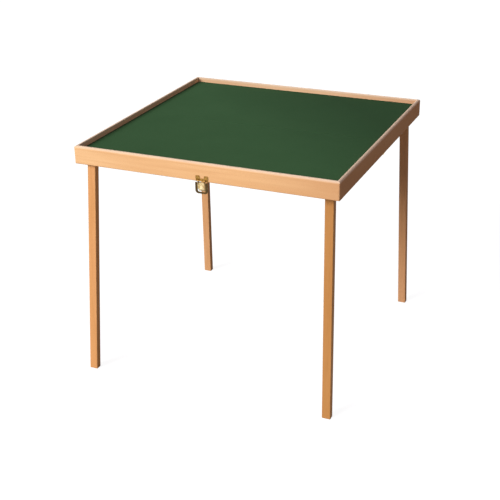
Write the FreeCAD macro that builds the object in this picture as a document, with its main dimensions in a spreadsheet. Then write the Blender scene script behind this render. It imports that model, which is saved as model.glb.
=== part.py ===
import FreeCAD, Part
import math
import os
from types import SimpleNamespace

import Sketcher

# Folding mahjong table: two tray-shaped halves hinged at their lower centre edges, four folding legs
# and a draw latch. Millimetres, +Z up, origin on the floor under the centre of the top.
# X runs along the front rail, the front half lies at negative Y.

doc = FreeCAD.newDocument("MahjongTable")

SIZES = [
    ("table_width", 800, "overall width, along X"),
    ("table_depth", 800, "overall depth, along Y, of the open table"),
    ("table_height", 734, "floor to the top edge of the rails"),
    ("seam", 0.6, "gap between the two halves"),
    ("rail_height", 53, "height of the outer rails"),
    ("rail_thickness", 10, "thickness of the outer rails"),
    ("rail_crown", 7, "rounding of the rails' outer top edges"),
    ("rail_inner_crown", 1.5, "rounding of the rails' inner top edges"),
    ("rail_ease", 1.6, "rounding of the rails' lower edges"),
    ("corner_round", 4, "rounding of the table's upright corners"),
    ("center_rail_thickness", 13, "thickness of the rail along each side of the seam"),
    ("play_depth", 15, "playing surface below the rail tops"),
    ("felt_thickness", 1.5, "cloth"),
    ("felt_gap", 0.3, "cloth edge to rail"),
    ("panel_thickness", 5, "plywood bed"),
    ("groove_depth", 4, "groove that holds the bed"),
    ("panel_fit", 0.1, "slack of the bed in its groove"),
    ("leg_width", 26, "leg section along X"),
    ("leg_depth", 20, "leg section along the pivot"),
    ("leg_round", 2, "rounding of the legs' long edges"),
    ("leg_gap", 20, "side rail's inner face to a leg, at its pivot"),
    ("bolt_room", 3.95, "end rail's inner face to the bolt heads of the outer lane"),
    ("lane_gap", 1.2, "folded leg to a bracket of the other lane"),
    ("tilt_front_left", 2, "degrees that the pivot leans, which spreads the feet along Y"),
    ("tilt_front_right", 3, "degrees that the pivot leans"),
    ("tilt_rear_left", 2, "degrees that the pivot leans"),
    ("tilt_rear_right", 2, "degrees that the pivot leans"),
    ("splay_front_left", 3.3, "degrees outward along X"),
    ("splay_front_right", 1.25, "degrees outward along X"),
    ("splay_rear_left", 0.75, "degrees outward along X"),
    ("splay_rear_right", 1.7, "degrees outward along X"),
    ("swing_gap", 0.8, "folded leg to the web of its bracket"),
    ("stop_gap", 0.05, "web to the leg's stop face"),
    ("stop_land", 2, "stop face ends this far outside the pivot"),
    ("foot_round", 1.2, "rounding around the foot"),
    ("bracket_sheet", 1.5, "steel of the leg bracket"),
    ("bracket_bend", 2, "outer bend of the leg bracket"),
    ("bracket_inner_bend", 0.3, "inner bend of the leg bracket"),
    ("cheek_gap", 0.3, "leg to bracket cheek, each side"),
    ("cheek_lip", 1, "cheek beyond the leg, each way along X"),
    ("cheek_drop", 10, "cheek below the pivot"),
    ("cheek_corner", 8, "rounding of a cheek's lower corners"),
    ("cheek_taper", 38, "pivot to where the cheeks run out into the web"),
    ("bracket_reach", 46, "pivot to the inboard end of the web"),
    ("web_corner", 5, "rounding of the web's inboard corners"),
    ("block_thickness", 3, "packing block between bed and bracket"),
    ("block_overhang", 2, "packing block beyond the bracket's ends"),
    ("bracket_screw_out", 6, "outboard screws from the pivot"),
    ("bracket_screw_in", 36, "inboard screws from the pivot"),
    ("bracket_screw_side", 6, "screws from the bracket's middle"),
    ("bolt_diameter", 6, "leg pivot bolt"),
    ("bolt_clearance", 0.08, "radial, bolt in leg and cheeks"),
    ("bolt_flats", 10, "across the flats of head and nut"),
    ("bolt_head", 4, "height of the bolt head"),
    ("bolt_bevel", 30, "degrees, bevel around the corners of head and nut"),
    ("nut_height", 4, "height of the lock nut's hexagon"),
    ("nut_collar", 1.8, "height of the collar that holds the nut's insert"),
    ("nut_collar_diameter", 8.8, "collar of the lock nut"),
    ("bolt_overrun", 1.5, "bolt beyond its nut"),
    ("thread_fit", 0.04, "radial, nut on bolt"),
    ("screw_diameter", 2.9, "bracket screw"),
    ("screw_head", 5.4, "bracket screw head"),
    ("screw_length", 8, "bracket screw"),
    ("pin_screw_diameter", 2.4, "hinge and latch screw"),
    ("pin_screw_head", 4.4, "hinge and latch screw head"),
    ("pin_screw_length", 10, "hinge and latch screw"),
    ("screw_point", 2.5, "length of a screw's point"),
    ("screw_fit", 0.06, "radial, screw in its hole"),
    ("recess_span", 2.4, "cross recess, tip to tip"),
    ("recess_slot", 0.6, "cross recess, slot width"),
    ("recess_depth", 0.7, "cross recess"),
    ("hinge_length", 50, "length of a hinge along X"),
    ("hinge_inset", 1, "table side to the hinge's end"),
    ("leaf_margin", 0.9, "leaf's edge to the inner face of the centre rail"),
    ("hinge_sheet", 1.2, "leaf thickness"),
    ("leaf_gap", 0.2, "gap between the leaves of a shut hinge"),
    ("knuckle_radius", 2.5, "outer radius of the knuckles"),
    ("knuckle_gap", 0.2, "gap between neighbouring knuckles"),
    ("knuckle_room", 0.5, "chamfer on the wood above the knuckles, beyond their radius"),
    ("knuckle_count", 5, "knuckles of one hinge, an odd number"),
    ("hinge_pin", 2, "hinge pin diameter"),
    ("hinge_fit", 0.05, "radial, hinge pin in its knuckles"),
    ("hinge_screw_pitch", 18, "distance between a leaf's screws"),
    ("latch_offset", 4.8, "middle of the latch right of the table's middle"),
    ("latch_top", 17, "top of the latch plate above the rail's lower edge"),
    ("latch_bottom", 0.5, "bottom of the latch plate above the rail's lower edge"),
    ("latch_sheet", 1.2, "brass sheet of the latch"),
    ("latch_corner", 1.5, "rounding of the latch plate"),
    ("notch_half", 8, "half width of the plate's notch at the top"),
    ("notch_foot", 5, "half width of the notch at its bottom"),
    ("notch_depth", 8, "depth of the notch"),
    ("latch_screw_height", 12, "latch screws above the rail's lower edge"),
    ("lever_pivot_height", 3.5, "lever pin above the rail's lower edge"),
    ("lever_pivot_reach", 4, "lever pin in front of the rail"),
    ("lever_pin", 2, "lever pin diameter"),
    ("lever_fit", 0.08, "radial, lever pin and loop ends in their holes"),
    ("ear_radius", 3, "rounding of the ears around the lever pin"),
    ("ear_gap", 0.3, "lever to ear"),
    ("lever_width", 20, "width of the lever"),
    ("lever_sheet", 1, "sheet of the lever"),
    ("lever_nose", 2.4, "lever flange around its pin"),
    ("lever_back", 3.4, "lever plate behind its pin"),
    ("lever_neck", 4.5, "pin to the start of the lever plate"),
    ("lever_shoulder", 23, "pin to where the flanges start to narrow"),
    ("lever_crease", 26, "pin to the crease of the finger lip"),
    ("lever_length", 31, "pin to the end of the finger lip"),
    ("lever_lip", 2.2, "how far the finger lip bends back"),
    ("loop_offset", 7, "lever pin to the loop's ends"),
    ("loop_sheet", 1.6, "thickness of the loop"),
    ("loop_gap", 0.25, "loop to ear, each side"),
    ("loop_play", 1, "loop's lower bar beyond the lever's lip"),
    ("loop_bar", 7, "width of the loop's arms"),
    ("loop_foot", 5, "width of the loop's lower bar"),
    ("loop_head", 2.4, "loop arm above its pivot"),
    ("loop_corner", 9, "outer rounding of the loop"),
    ("loop_inner_corner", 4, "inner rounding of the loop"),
    ("loop_end_round", 2, "rounding of the loop's arm ends"),
    ("loop_end_gap", 0.8, "loop ends inside the lever's flanges"),
    ("catch_width", 30, "width of the catch plate"),
    ("catch_bottom", 2, "bottom of the catch plate above the rail's lower edge"),
    ("catch_hook", 14, "width of the hook"),
    ("catch_play", 0.2, "loop to hook when shut"),
    ("hook_clearance", 0.5, "loop to the hook's nose"),
    ("hook_nose", 2.8, "height of the hook's nose"),
    ("catch_screw_height", 7, "catch screws above the rail's lower edge"),
    ("margin", 2, "how far a cutting shape runs past the wood or metal"),
]

sheet = doc.addObject("Spreadsheet::Sheet", "Sizes")
for row, (alias, value, note) in enumerate(SIZES, start=1):
    sheet.set(f"A{row}", alias)
    sheet.set(f"B{row}", str(value))
    sheet.set(f"C{row}", note)
    sheet.setAlias(f"B{row}", alias)
doc.recompute()


# ---------------------------------------------------------------- sizes and expressions

class Size:
    """A number together with the spreadsheet expression that gives it."""

    def __init__(self, value, text=None):
        self.value = value
        self.text = text or repr(value)

    def join(self, other, sign, value):
        return Size(value, f"({self.text} {sign} {other.text})")

    def __add__(self, other):
        other = as_size(other)
        return self.join(other, "+", self.value + other.value)

    def __sub__(self, other):
        other = as_size(other)
        return self.join(other, "-", self.value - other.value)

    def __mul__(self, other):
        other = as_size(other)
        return self.join(other, "*", self.value * other.value)

    def __truediv__(self, other):
        other = as_size(other)
        return self.join(other, "/", self.value / other.value)

    def __neg__(self):
        return Size(-self.value, f"(-1 * {self.text})")

    __rmul__ = __mul__


def as_size(value):
    return value if isinstance(value, Size) else Size(value)


def sine(angle):
    return Size(math.sin(math.radians(angle.value)), f"sin({angle.text} * 1 deg)")


def cosine(angle):
    return Size(math.cos(math.radians(angle.value)), f"cos({angle.text} * 1 deg)")


def tangent(angle):
    return Size(math.tan(math.radians(angle.value)), f"tan({angle.text} * 1 deg)")


s = SimpleNamespace(**{alias: Size(getattr(sheet, alias), f"Sizes.{alias}") for alias, _, _ in SIZES})

ZERO = Size(0)
DIAGONAL = Size(1 / math.sqrt(2))

half_width = s.table_width / 2
half_depth = s.table_depth / 2
half_seam = s.seam / 2
rail_z = s.table_height - s.rail_height
felt_z = s.table_height - s.play_depth - s.felt_thickness
panel_z = felt_z - s.panel_thickness
center_rail_height = panel_z - rail_z
half_rail_length = half_depth - half_seam
well_x = half_width - s.rail_thickness
well_y = half_depth - s.rail_thickness - half_seam
hinge_z = rail_z - s.hinge_sheet - s.leaf_gap / 2
hinge_x = half_width - s.hinge_inset - s.hinge_length / 2
pivot_x = well_x - s.leg_gap - s.leg_width / 2
head_room = s.leg_width / 2 + s.swing_gap
cheek_inner = s.leg_depth / 2 + s.cheek_gap
cheek_outer = cheek_inner + s.bracket_sheet
cheek_half = s.leg_width / 2 + s.cheek_lip
outer_lane = half_depth - s.rail_thickness - s.bolt_room - s.bolt_head - cheek_outer
inner_lane = outer_lane - cheek_outer - s.lane_gap - s.leg_depth / 2

hinge_leaf_width = half_seam + s.center_rail_thickness - s.leaf_margin
hinge_screw_y = (hinge_leaf_width + s.knuckle_radius) / 2
knuckle_relief = s.knuckle_radius + s.knuckle_room
shut_gap = s.hinge_sheet * 2 + s.leaf_gap

ear_inner = s.lever_width / 2 + s.ear_gap
loop_inner = ear_inner + s.latch_sheet + s.loop_gap
latch_half = loop_inner + s.loop_bar
loop_window = s.lever_length - s.loop_offset + s.loop_play
hook_face = loop_window - s.lever_pivot_height - s.loop_offset - shut_gap - s.catch_play
latch_x = {"front": s.latch_offset, "rear": -s.latch_offset}
TURN = {"front": 0, "rear": 180}
nodes = []


def corner(half, side, pivot_y, splay, tilt):
    """Where one leg goes: side is 1 where inboard is +X before its half is turned."""
    pivot_depth = (head_room + s.bracket_sheet + s.block_thickness) * cosine(tilt)
    return SimpleNamespace(
        half=half, side=side, pivot_y=pivot_y, splay=splay, tilt=tilt,
        pivot_depth=pivot_depth, pivot_z=panel_z - pivot_depth,
    )


CORNERS = {
    "front_left": corner("front", 1, outer_lane, s.splay_front_left, s.tilt_front_left),
    "front_right": corner("front", -1, inner_lane, s.splay_front_right, s.tilt_front_right),
    "rear_right": corner("rear", 1, outer_lane, s.splay_rear_right, s.tilt_rear_right),
    "rear_left": corner("rear", -1, inner_lane, s.splay_rear_left, s.tilt_rear_left),
}


# ---------------------------------------------------------------- document helpers

def place_text(x=ZERO, y=ZERO, z=ZERO, axis=(0, 0, 1), angle=ZERO):
    """Expression for one placement."""
    x, y, z, angle = (as_size(v).text for v in (x, y, z, angle))
    turn = f"rotation(vector({axis[0]}; {axis[1]}; {axis[2]}); {angle})"
    return f"placement(vector({x}; {y}; {z}); {turn})"


def in_half(half, *steps):
    """Expression for a placement inside one half; the rear half is the front one turned about Z."""
    return " * ".join([place_text(angle=Size(TURN[half])), *steps])


def leg_frame(name):
    """Placement of a leg's own frame: origin at its pivot, Y along the pivot bolt."""
    at = CORNERS[name]
    pivot = place_text(pivot_x * -at.side, -at.pivot_y, at.pivot_z, (1, 0, 0), -at.tilt)
    return in_half(at.half, pivot)


def finish(obj, name, placement):
    obj.Label = name
    obj.setExpression("Placement", placement)
    nodes.append(obj)
    return obj


def new_body(name):
    body = doc.addObject("PartDesign::Body", name)
    body.Label = name
    return body


def sketch_on(body, role, offset=None):
    """Sketch on one of the body's own origin planes, moved along its normal by offset."""
    sketch = body.newObject("Sketcher::SketchObject", f"{body.Name}_sketch")
    plane = next(f for f in body.Origin.OriginFeatures if f.Role == role)
    sketch.AttachmentSupport = [(plane, "")]
    sketch.MapMode = "FlatFace"
    if offset is not None:
        sketch.setExpression("AttachmentOffset.Base.z", offset.text)
    return sketch


def dimension(sketch, kind, geometry, size):
    """Adds a constraint whose value follows the size's expression."""
    number = sketch.addConstraint(Sketcher.Constraint(kind, *geometry, size.value))
    name = f"d{number}"
    sketch.renameConstraint(number, name)
    sketch.setExpression(f"Constraints.{name}", size.text)


def edge_between(a, b, radius, sign):
    """The edge from a to b with the ends' point numbers: a line, or an arc that turns by sign."""
    start = FreeCAD.Vector(a[0], a[1], 0)
    end = FreeCAD.Vector(b[0], b[1], 0)
    if radius is None:
        return Part.LineSegment(start, end), (1, 2)
    chord = end - start
    rise = math.sqrt(max(radius**2 - (chord.Length / 2) ** 2, 0)) * sign
    left = FreeCAD.Vector(-chord.y, chord.x, 0).normalize()
    center = (start + end) / 2 + left * rise
    angles = [math.atan2(p.y - center.y, p.x - center.x) for p in (start, end)]
    ends = (1, 2)
    if sign < 0:
        angles.reverse()
        ends = (2, 1)
    if angles[1] < angles[0]:
        angles[1] += 2 * math.pi
    circle = Part.Circle(center, FreeCAD.Vector(0, 0, 1), radius)
    return Part.ArcOfCircle(circle, *angles), ends


def outline(sketch, corners):
    """Closed outline. A corner is (x, y), or (x, y, radius, sign) where an arc leaves it."""
    first = sketch.GeometryCount
    corners = [tuple(as_size(v) for v in c[:3]) + tuple(c[3:]) for c in corners]
    count = len(corners)
    ends = []
    for i, corner in enumerate(corners):
        follower = corners[(i + 1) % count]
        radius = corner[2].value if len(corner) > 2 else None
        sign = corner[3] if len(corner) > 2 else 0
        a = (corner[0].value, corner[1].value)
        b = (follower[0].value, follower[1].value)
        edge, edge_ends = edge_between(a, b, radius, sign)
        sketch.addGeometry(edge)
        ends.append(edge_ends)
    for i in range(count):
        j = (i + 1) % count
        joint = Sketcher.Constraint("Coincident", first + i, ends[i][1], first + j, ends[j][0])
        sketch.addConstraint(joint)
    for i, corner in enumerate(corners):
        dimension(sketch, "DistanceX", (first + i, ends[i][0]), corner[0])
        dimension(sketch, "DistanceY", (first + i, ends[i][0]), corner[1])
        if len(corner) > 2:
            dimension(sketch, "Radius", (first + i,), corner[2])


def rectangle(sketch, x0, x1, y0, y1):
    outline(sketch, [(x0, y0), (x1, y0), (x1, y1), (x0, y1)])


def circle(sketch, x, y, radius):
    x, y = as_size(x), as_size(y)
    center = FreeCAD.Vector(x.value, y.value, 0)
    number = sketch.addGeometry(Part.Circle(center, FreeCAD.Vector(0, 0, 1), radius.value))
    dimension(sketch, "DistanceX", (number, 3), x)
    dimension(sketch, "DistanceY", (number, 3), y)
    dimension(sketch, "Radius", (number,), radius)


def add_feature(body, kind, sketch, word):
    feature = body.newObject(kind, f"{body.Name}_{word}")
    feature.Profile = sketch
    body.Tip = feature
    return feature


def pad(body, sketch, length, both=False, back=False):
    feature = add_feature(body, "PartDesign::Pad", sketch, "pad")
    feature.setExpression("Length", length.text)
    feature.SideType = "Symmetric" if both else "One side"
    feature.Reversed = back
    return feature


def pocket(body, sketch, depth=None, both=False, back=False):
    """Cuts to a depth, or right through both ways where no depth is given."""
    feature = add_feature(body, "PartDesign::Pocket", sketch, "cut")
    if depth is None:
        feature.Type = "ThroughAll"
        feature.SideType = "Symmetric"
        return feature
    feature.setExpression("Length", depth.text)
    feature.SideType = "Symmetric" if both else "One side"
    feature.Reversed = back
    return feature


def countersunk(body, sketch, diameter, head, back=False):
    """Countersunk clearance holes at the sketch's circles, sunk on the sketch's side."""
    doc.recompute()
    feature = add_feature(body, "PartDesign::Hole", sketch, "holes")
    feature.DepthType = "ThroughAll"
    feature.HoleCutType = "Countersink"
    feature.HoleCutCountersinkAngle = 90
    feature.setExpression("Diameter", diameter.text)
    feature.setExpression("HoleCutDiameter", head.text)
    feature.Reversed = back
    return feature


def hole_circles(sketch, points, radius):
    for x, y in points:
        circle(sketch, x, y, radius)


def group(name, master, placements):
    """One node made of equal separate pieces: links to the master piece, gathered in a compound."""
    links = []
    for placement in placements:
        link = doc.addObject("App::Link", f"{name}_item")
        link.LinkedObject = master
        link.setExpression("Placement", placement)
        links.append(link)
    compound = doc.addObject("Part::Compound", name)
    compound.Links = links
    compound.Label = name
    nodes.append(compound)


# ---------------------------------------------------------------- where screws go

screw_radius = s.screw_diameter / 2 + s.screw_fit
pin_screw_radius = s.pin_screw_diameter / 2 + s.screw_fit
BRACKET_SCREWS = [
    (x, y * sign)
    for x, y in ((-s.bracket_screw_out, s.bracket_screw_side), (s.bracket_screw_in, s.bracket_screw_side))
    for sign in (-1, 1)
]
HINGE_SCREWS = [-s.hinge_screw_pitch, ZERO, s.hinge_screw_pitch]
latch_screw_x = (s.notch_half + latch_half) / 2
catch_screw_x = (s.catch_hook + s.catch_width) / 4
LATCH_SCREWS = [(latch_screw_x * side, s.latch_screw_height) for side in (-1, 1)]
CATCH_SCREWS = [(catch_screw_x * side, s.catch_screw_height) for side in (-1, 1)]
END_SCREWS = {
    "front": [(latch_x["front"] + x, z) for x, z in LATCH_SCREWS],
    "rear": [(latch_x["rear"] + x, z) for x, z in CATCH_SCREWS],
}
hinge_pilot = s.pin_screw_length - s.hinge_sheet + s.screw_fit
latch_pilot = s.pin_screw_length - s.latch_sheet + s.screw_fit


# ---------------------------------------------------------------- the wooden trays

def rail_section(sketch, side):
    """Section of an outer rail, outer face at 0, with the groove for the bed in its inner face."""
    t, height = s.rail_thickness, s.rail_height
    crown, inner, ease = s.rail_crown, s.rail_inner_crown, s.rail_ease
    low = center_rail_height
    high = low + s.panel_thickness + s.panel_fit
    corners = [
        (ease, ZERO),
        (t - ease, ZERO, ease, 1),
        (t, ease),
        (t, low),
        (t - s.groove_depth, low),
        (t - s.groove_depth, high),
        (t, high),
        (t, height - inner, inner, 1),
        (t - inner, height),
        (crown, height, crown, 1),
        (ZERO, height - crown),
        (ZERO, ease, ease, 1),
    ]
    outline(sketch, [(c[0] * side, c[1], *c[2:3], *(v * side for v in c[3:])) for c in corners])


def end_rail(name, half):
    """Rail across the front or the rear, mitred at both ends."""
    body = new_body(name)
    section = sketch_on(body, "YZ_Plane")
    rail_section(section, 1)
    pad(body, section, s.table_width, both=True)
    mitres = sketch_on(body, "XY_Plane")
    radius, t, m = s.corner_round, s.rail_thickness, s.margin
    for side in (-1, 1):
        start = (half_width - radius) * side
        outline(mitres, [
            (start, ZERO, radius, side),
            ((half_width - radius + radius * DIAGONAL) * side, radius - radius * DIAGONAL),
            ((half_width - t - m) * side, t + m),
            ((half_width + m) * side, t + m),
            ((half_width + m) * side, -m),
            (start, -m),
        ])
    pocket(body, mitres)
    pilots = sketch_on(body, "XZ_Plane")
    hole_circles(pilots, END_SCREWS[half], pin_screw_radius)
    pocket(body, pilots, latch_pilot)
    finish(body, name, in_half(half, place_text(ZERO, -half_depth, rail_z)))


def side_rail(name, half, side):
    """Rail along one side of a half: mitred at the outer end, square at the seam."""
    body = new_body(name)
    section = sketch_on(body, "XZ_Plane")
    rail_section(section, side)
    pad(body, section, half_rail_length, back=True)
    mitre = sketch_on(body, "XY_Plane")
    radius, t, m = s.corner_round, s.rail_thickness, s.margin
    outline(mitre, [
        (ZERO, radius, radius, side),
        ((radius - radius * DIAGONAL) * side, radius - radius * DIAGONAL),
        ((t + m) * side, t + m),
        ((t + m) * side, -m),
        (-m * side, -m),
        (-m * side, radius),
    ])
    pocket(body, mitre)
    relief = sketch_on(body, "YZ_Plane")
    knuckle_chamfer(relief, half_rail_length)
    pocket(body, relief)
    pilots = sketch_on(body, "XY_Plane")
    across = half_width - hinge_x - s.hinge_screw_pitch
    circle(pilots, across * side, half_depth - hinge_screw_y, pin_screw_radius)
    pocket(body, pilots, hinge_pilot, back=True)
    finish(body, name, in_half(half, place_text(half_width * -side, -half_depth, rail_z)))


def knuckle_chamfer(sketch, seam_face):
    """Triangle that takes the lower edge off the wood at the seam, where the knuckles turn."""
    cut, m = knuckle_relief, s.margin
    outline(sketch, [
        (seam_face - cut - m, -m),
        (seam_face + m, -m),
        (seam_face + m, cut + m),
    ])


def center_rail(name, half):
    """Rail under the bed along the seam; the hinges are screwed to its lower edge."""
    body = new_body(name)
    section = sketch_on(body, "YZ_Plane")
    rectangle(section, -s.center_rail_thickness, ZERO, ZERO, center_rail_height)
    pad(body, section, well_x * 2, both=True)
    relief = sketch_on(body, "YZ_Plane")
    knuckle_chamfer(relief, ZERO)
    pocket(body, relief)
    pilots = sketch_on(body, "XY_Plane")
    inner = [(hinge_x + x) * side for x in HINGE_SCREWS[:2] for side in (-1, 1)]
    hole_circles(pilots, [(x, half_seam - hinge_screw_y) for x in inner], pin_screw_radius)
    pocket(body, pilots, hinge_pilot, back=True)
    finish(body, name, in_half(half, place_text(ZERO, -half_seam, rail_z)))


def panel(name, half):
    """Plywood bed in the rails' grooves, with blind holes for the bracket screws."""
    body = new_body(name)
    bed = sketch_on(body, "XY_Plane")
    reach = s.groove_depth - s.panel_fit
    rectangle(bed, -(well_x + reach), well_x + reach, -(well_y + reach), ZERO)
    pad(body, bed, s.panel_thickness)
    entry = s.screw_length - s.bracket_sheet - s.block_thickness
    for at in CORNERS.values():
        if at.half != half:
            continue
        holes = sketch_on(body, "XY_Plane")
        middle = (at.pivot_depth + entry / 2) * sine(at.tilt) - at.pivot_y + half_seam
        for x, y in BRACKET_SCREWS:
            across = y * cosine(at.tilt) + middle
            circle(holes, (x - pivot_x) * at.side, across, screw_radius + entry * sine(at.tilt))
        pocket(body, holes, entry + s.bracket_screw_side * sine(at.tilt) + s.screw_fit, back=True)
    finish(body, name, in_half(half, place_text(ZERO, -half_seam, panel_z)))


def felt(name, half):
    """Cloth on the bed, up to the rails and to the seam."""
    body = new_body(name)
    cloth = sketch_on(body, "XY_Plane")
    x = well_x - s.felt_gap
    rectangle(cloth, -x, x, s.felt_gap - well_y, ZERO)
    pad(body, cloth, s.felt_thickness)
    finish(body, name, in_half(half, place_text(ZERO, -half_seam, felt_z)))


# ---------------------------------------------------------------- folding legs

def leg(name):
    """Leg with a stop face over the outer half of its top, rounded about the pivot inboard."""
    at = CORNERS[name]
    side = at.side
    body = new_body(f"leg_{name}")
    lean = tangent(at.splay)
    top = head_room - s.stop_gap
    shaft = at.pivot_z / cosine(at.tilt)
    section = sketch_on(body, "XY_Plane", top)
    rounded_section(section, lean * top * side)
    prism = pad(body, section, top + shaft + s.margin)
    prism.UseCustomVector = True
    prism.AlongSketchNormal = True
    prism.Direction = FreeCAD.Vector(-side * lean.value, 0, -1)
    prism.setExpression("Direction.x", (lean * -side).text)
    crown = sketch_on(body, "XZ_Plane")
    half, m = s.leg_width / 2, s.margin
    outline(crown, [
        (-s.stop_land * side, top),
        (ZERO, half, half, -side),
        (half * side, ZERO),
        ((half + m) * side, ZERO),
        ((half + m) * side, top + m),
        (-s.stop_land * side, top + m),
    ])
    pocket(body, crown)
    bore = sketch_on(body, "XZ_Plane")
    circle(bore, ZERO, ZERO, s.bolt_diameter / 2 + s.bolt_clearance)
    pocket(body, bore)
    floor = sketch_on(body, "YZ_Plane")
    edge = s.leg_depth
    rise = edge * tangent(at.tilt)
    outline(floor, [
        (-edge, -(shaft + rise)),
        (-edge, -(shaft + m * 4)),
        (edge, -(shaft + m * 4)),
        (edge, rise - shaft),
    ])
    cut = pocket(body, floor)
    round_foot(body, cut)
    finish(body, f"leg_{name}", leg_frame(name))


def rounded_section(sketch, middle):
    x, y, r = s.leg_width / 2, s.leg_depth / 2, s.leg_round
    outline(sketch, [
        (middle - x + r, -y),
        (middle + x - r, -y, r, 1),
        (middle + x, r - y),
        (middle + x, y - r, r, 1),
        (middle + x - r, y),
        (middle - x + r, y, r, 1),
        (middle - x, y - r),
        (middle - x, r - y, r, 1),
    ])


def round_foot(body, base):
    """Rounds the edges around the lowest face."""
    doc.recompute()
    faces = base.Shape.Faces
    lowest = min(range(len(faces)), key=lambda i: faces[i].CenterOfMass.z)
    fillet = body.newObject("PartDesign::Fillet", f"{body.Name}_foot")
    fillet.Base = (base, [f"Face{lowest + 1}"])
    fillet.setExpression("Radius", s.foot_round.text)
    body.Tip = fillet


def span_pad(body, sketch, start, end, side):
    """Pads a YZ section from start outboard of the pivot to end inboard of it."""
    sketch.setExpression("AttachmentOffset.Base.z", (start * -side).text)
    return pad(body, sketch, start + end, back=side < 0)


def leg_block(name):
    """Wooden packing block, planed to the pivot's lean, between the bed and the bracket."""
    at = CORNERS[name]
    body = new_body(f"leg_block_{name}")
    section = sketch_on(body, "YZ_Plane")
    low = head_room + s.bracket_sheet
    middle = low + s.block_thickness
    rise = cheek_outer * tangent(at.tilt)
    outline(section, [
        (-cheek_outer, low),
        (cheek_outer, low),
        (cheek_outer, middle + rise),
        (-cheek_outer, middle - rise),
    ])
    span_pad(body, section, cheek_half + s.block_overhang, s.bracket_reach + s.block_overhang, at.side)
    holes = sketch_on(body, "XY_Plane")
    hole_circles(holes, [(x * at.side, y) for x, y in BRACKET_SCREWS], screw_radius)
    pocket(body, holes)
    finish(body, f"leg_block_{name}", leg_frame(name))


def bracket(name):
    """Pressed steel channel: a web under the block and two tapering cheeks with the pivot bolt."""
    side = CORNERS[name].side
    body = new_body(f"leg_bracket_{name}")
    channel = sketch_on(body, "YZ_Plane")
    web, back = head_room, head_room + s.bracket_sheet
    bend, inner = s.bracket_bend, s.bracket_inner_bend
    outline(channel, [
        (cheek_inner, -s.cheek_drop),
        (cheek_outer, -s.cheek_drop),
        (cheek_outer, back - bend, bend, 1),
        (cheek_outer - bend, back),
        (bend - cheek_outer, back, bend, 1),
        (-cheek_outer, back - bend),
        (-cheek_outer, -s.cheek_drop),
        (-cheek_inner, -s.cheek_drop),
        (-cheek_inner, web - inner, inner, -1),
        (inner - cheek_inner, web),
        (cheek_inner - inner, web, inner, -1),
        (cheek_inner, web - inner),
    ])
    span_pad(body, channel, cheek_half, s.bracket_reach, side)
    shape = sketch_on(body, "XZ_Plane")
    half, drop, r, m = cheek_half, s.cheek_drop, s.cheek_corner, s.margin
    corners = [
        (s.cheek_taper, web),
        (half, r - drop, r, -side),
        (half - r, -drop),
        (r - half, -drop, r, -side),
        (-half, r - drop),
        (-half - m, r - drop),
        (-half - m, -drop - m),
        (s.bracket_reach + m, -drop - m),
        (s.bracket_reach + m, web),
    ]
    outline(shape, [(c[0] * side, *c[1:]) for c in corners])
    pocket(body, shape)
    ends = sketch_on(body, "XY_Plane")
    r, reach = s.web_corner, s.bracket_reach
    for sign in (-1, 1):
        outline(ends, [
            ((reach - r) * side, cheek_outer * sign, r, -side * sign),
            (reach * side, (cheek_outer - r) * sign),
            ((reach + m) * side, (cheek_outer - r) * sign),
            ((reach + m) * side, (cheek_outer + m) * sign),
            ((reach - r) * side, (cheek_outer + m) * sign),
        ])
    pocket(body, ends)
    bore = sketch_on(body, "XZ_Plane")
    circle(bore, ZERO, ZERO, s.bolt_diameter / 2 + s.bolt_clearance)
    pocket(body, bore)
    holes = sketch_on(body, "XY_Plane", web)
    hole_circles(holes, [(x * side, y) for x, y in BRACKET_SCREWS], screw_radius)
    countersunk(body, holes, screw_radius * 2, s.screw_head + s.screw_fit * 2, back=True)
    finish(body, f"leg_bracket_{name}", leg_frame(name))


def hexagon(sketch, flats):
    radius = flats / math.sqrt(3)
    outline(sketch, [
        (radius * math.cos(math.radians(60 * i)), radius * math.sin(math.radians(60 * i)))
        for i in range(6)
    ])


def bevel(body, end, outward):
    """Turns the hexagon's corners down at its end face; outward is the way that face looks on Y."""
    cut = sketch_on(body, "XY_Plane")
    inside, outside = s.bolt_flats / 2, s.bolt_flats / math.sqrt(3) + s.margin
    depth = (outside - inside) * tangent(s.bolt_bevel)
    outline(cut, [(inside, end), (outside, end - depth * outward), (outside, end)])
    turned = add_feature(body, "PartDesign::Groove", cut, "bevel")
    turned.ReferenceAxis = (cut, ["V_Axis"])
    turned.Angle = 360


def leg_bolt():
    """Pivot bolt with its head outside the outer cheek."""
    body = new_body("leg_bolt")
    head = sketch_on(body, "XZ_Plane", cheek_outer)
    hexagon(head, s.bolt_flats)
    pad(body, head, s.bolt_head)
    bevel(body, -cheek_outer - s.bolt_head, -1)
    shank = sketch_on(body, "XZ_Plane", cheek_outer)
    circle(shank, ZERO, ZERO, s.bolt_diameter / 2)
    pad(body, shank, cheek_outer * 2 + s.nut_height + s.nut_collar + s.bolt_overrun, back=True)
    return body


def leg_nut():
    """Lock nut with the collar around its insert on the outer side."""
    body = new_body("leg_nut")
    flats = sketch_on(body, "XZ_Plane", -cheek_outer)
    hexagon(flats, s.bolt_flats)
    pad(body, flats, s.nut_height, back=True)
    bevel(body, cheek_outer + s.nut_height, 1)
    collar = sketch_on(body, "XZ_Plane", -cheek_outer - s.nut_height)
    circle(collar, ZERO, ZERO, s.nut_collar_diameter / 2)
    pad(body, collar, s.nut_collar, back=True)
    thread = sketch_on(body, "XZ_Plane")
    circle(thread, ZERO, ZERO, s.bolt_diameter / 2 + s.thread_fit)
    pocket(body, thread)
    return body


# ---------------------------------------------------------------- screws

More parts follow.
